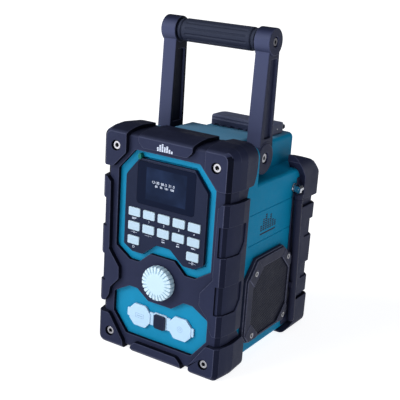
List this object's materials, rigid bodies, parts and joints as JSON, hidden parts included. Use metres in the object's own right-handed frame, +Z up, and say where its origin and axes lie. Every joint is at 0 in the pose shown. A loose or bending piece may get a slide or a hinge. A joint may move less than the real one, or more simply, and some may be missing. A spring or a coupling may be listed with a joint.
{
  "type": "jobsite radio",
  "caption": "Upright jobsite radio with a teal housing, black bumper frames front and rear, folding carry handle, key panel, tuning knob, side speakers and parked antenna.",
  "frame": {"origin": "centre of the bounding box at the level of the bumper pads the radio stands on", "axes": "+Z up, -Y out of the front with the keys and knob, +X to the side with the antenna"},
  "size_m": [0.1755, 0.218, 0.3774],
  "materials": {
    "teal_plastic": "fine moulded texture, satin",
    "teal_panel": "fine moulded texture, satin",
    "bumper_rubber": "fine matt moulded skin",
    "screw_steel": "bright zinc",
    "panel_black": "fine matt",
    "window_dark": "polished",
    "display_glass": "dark display face",
    "light_pipe": "clear tinted",
    "board_green": "printed board",
    "part_grey": "plain",
    "inner_black": "plain",
    "flap_rubber": "matt silicone",
    "socket_steel": "plain",
    "frame_black": "fine matt",
    "grille_black": "perforated, matt",
    "basket_steel": "black",
    "cone_black": "paper cone",
    "battery_black": "wrapped cells",
    "contact_brass": "bright",
    "antenna_chrome": "polished",
    "whip_rubber": "satin",
    "handle_black": "fine matt",
    "grip_rubber": "ribbed matt",
    "tube_steel": "plain",
    "knob_pale": "satin",
    "lid_black": "satin",
    "key_pale": "satin"
  },
  "bodies": {
    "radio": {"main_housing": "teal_plastic", "front_fascia": "teal_panel", "front_bumper": "bumper_rubber", "front_screws": "screw_steel", "display_panel": "panel_black", "display_window": "window_dark", "lcd_module": "display_glass", "status_light": "light_pipe", "key_board": "board_green", "rotary_encoder": "part_grey", "port_plate": "inner_black", "port_strap": "flap_rubber", "strap_keeper": "panel_black", "usb_socket": "socket_steel", "audio_socket": "inner_black", "speaker_frame_right": "frame_black", "speaker_frame_left": "frame_black", "grille_right": "grille_black", "grille_left": "grille_black", "speaker_driver_right": "basket_steel", "speaker_driver_left": "basket_steel", "speaker_cone_right": "cone_black", "speaker_cone_left": "cone_black", "speaker_screws": "screw_steel", "handle_pivot_screws": "screw_steel", "battery_tub": "inner_black", "battery_pack": "battery_black", "battery_contacts": "contact_brass", "antenna_fork": "antenna_chrome", "antenna_clip": "whip_rubber", "rear_bumper": "bumper_rubber", "rear_cover": "teal_plastic", "rear_screws": "screw_steel", "dc_socket": "inner_black", "main_board": "board_green", "lid_hinge_pin": "screw_steel"},
    "handle": {"handle_arm_right": "handle_black", "handle_arm_left": "handle_black", "handle_grip": "grip_rubber", "handle_rod": "tube_steel", "handle_cap_screws": "screw_steel"},
    "knob": {"tuning_knob": "knob_pale", "encoder_shaft": "screw_steel"},
    "right_flap": {"right_port_flap": "flap_rubber"},
    "left_flap": {"left_port_flap": "flap_rubber"},
    "lid": {"battery_lid": "lid_black"},
    "antenna": {"antenna_knuckle": "antenna_chrome", "antenna_whip": "whip_rubber"},
    "key_preset_body": {"key_preset": "key_pale"},
    "key_1_body": {"key_1": "key_pale"},
    "key_2_body": {"key_2": "key_pale"},
    "key_3_body": {"key_3": "key_pale"},
    "key_4_body": {"key_4": "key_pale"},
    "key_mode_body": {"key_mode": "key_pale"},
    "key_info_body": {"key_info": "key_pale"},
    "key_tune_down_body": {"key_tune_down": "key_pale"},
    "key_tune_up_body": {"key_tune_up": "key_pale"},
    "key_scan_body": {"key_scan": "key_pale"},
    "key_power_body": {"key_power": "key_pale"},
    "key_alarm_body": {"key_alarm": "key_pale"}
  },
  "joints": [
    {"name": "handle_fold", "type": "hinge", "parent": "radio", "child": "handle", "pos_m": [-0.00135, -0.00995, 0.2348], "axis": [-1, 0, 0], "range_deg": [0, 80]},
    {"name": "knob_turn", "type": "hinge", "parent": "radio", "child": "knob", "pos_m": [-0.00135, -0.10295, 0.0955], "axis": [0, 1, 0], "continuous": true},
    {"name": "right_flap_open", "type": "hinge", "parent": "radio", "child": "right_flap", "pos_m": [0.00855, -0.0956, 0.0455], "axis": [0, 0, -1], "range_deg": [0, 95]},
    {"name": "left_flap_open", "type": "hinge", "parent": "radio", "child": "left_flap", "pos_m": [-0.01125, -0.0956, 0.0455], "axis": [0, 0, 1], "range_deg": [0, 95]},
    {"name": "lid_open", "type": "hinge", "parent": "radio", "child": "lid", "pos_m": [-0.00135, 0.08755, 0.2505], "axis": [-1, 0, 0], "range_deg": [0, 85]},
    {"name": "antenna_tilt", "type": "hinge", "parent": "radio", "child": "antenna", "pos_m": [0.08215, 0.05555, 0.1885], "axis": [0, -0.9973, -0.0732], "range_deg": [0, 140]},
    {"name": "key_preset_press", "type": "slide", "parent": "radio", "child": "key_preset_body", "axis": [0, 1, 0], "range_m": [0, 0.0008], "stiffness_N_per_m": 600, "springref_m": -0.0005},
    {"name": "key_1_press", "type": "slide", "parent": "radio", "child": "key_1_body", "axis": [0, 1, 0], "range_m": [0, 0.0008], "stiffness_N_per_m": 600, "springref_m": -0.0005},
    {"name": "key_2_press", "type": "slide", "parent": "radio", "child": "key_2_body", "axis": [0, 1, 0], "range_m": [0, 0.0008], "stiffness_N_per_m": 600, "springref_m": -0.0005},
    {"name": "key_3_press", "type": "slide", "parent": "radio", "child": "key_3_body", "axis": [0, 1, 0], "range_m": [0, 0.0008], "stiffness_N_per_m": 600, "springref_m": -0.0005},
    {"name": "key_4_press", "type": "slide", "parent": "radio", "child": "key_4_body", "axis": [0, 1, 0], "range_m": [0, 0.0008], "stiffness_N_per_m": 600, "springref_m": -0.0005},
    {"name": "key_mode_press", "type": "slide", "parent": "radio", "child": "key_mode_body", "axis": [0, 1, 0], "range_m": [0, 0.0008], "stiffness_N_per_m": 600, "springref_m": -0.0005},
    {"name": "key_info_press", "type": "slide", "parent": "radio", "child": "key_info_body", "axis": [0, 1, 0], "range_m": [0, 0.0008], "stiffness_N_per_m": 600, "springref_m": -0.0005},
    {"name": "key_tune_down_press", "type": "slide", "parent": "radio", "child": "key_tune_down_body", "axis": [0, 1, 0], "range_m": [0, 0.0008], "stiffness_N_per_m": 600, "springref_m": -0.0005},
    {"name": "key_tune_up_press", "type": "slide", "parent": "radio", "child": "key_tune_up_body", "axis": [0, 1, 0], "range_m": [0, 0.0008], "stiffness_N_per_m": 600, "springref_m": -0.0005},
    {"name": "key_scan_press", "type": "slide", "parent": "radio", "child": "key_scan_body", "axis": [0, 1, 0], "range_m": [0, 0.0008], "stiffness_N_per_m": 600, "springref_m": -0.0005},
    {"name": "key_power_press", "type": "slide", "parent": "radio", "child": "key_power_body", "axis": [0, 1, 0], "range_m": [0, 0.0008], "stiffness_N_per_m": 600, "springref_m": -0.0005},
    {"name": "key_alarm_press", "type": "slide", "parent": "radio", "child": "key_alarm_body", "axis": [0, 1, 0], "range_m": [0, 0.0008], "stiffness_N_per_m": 600, "springref_m": -0.0005}
  ]
}
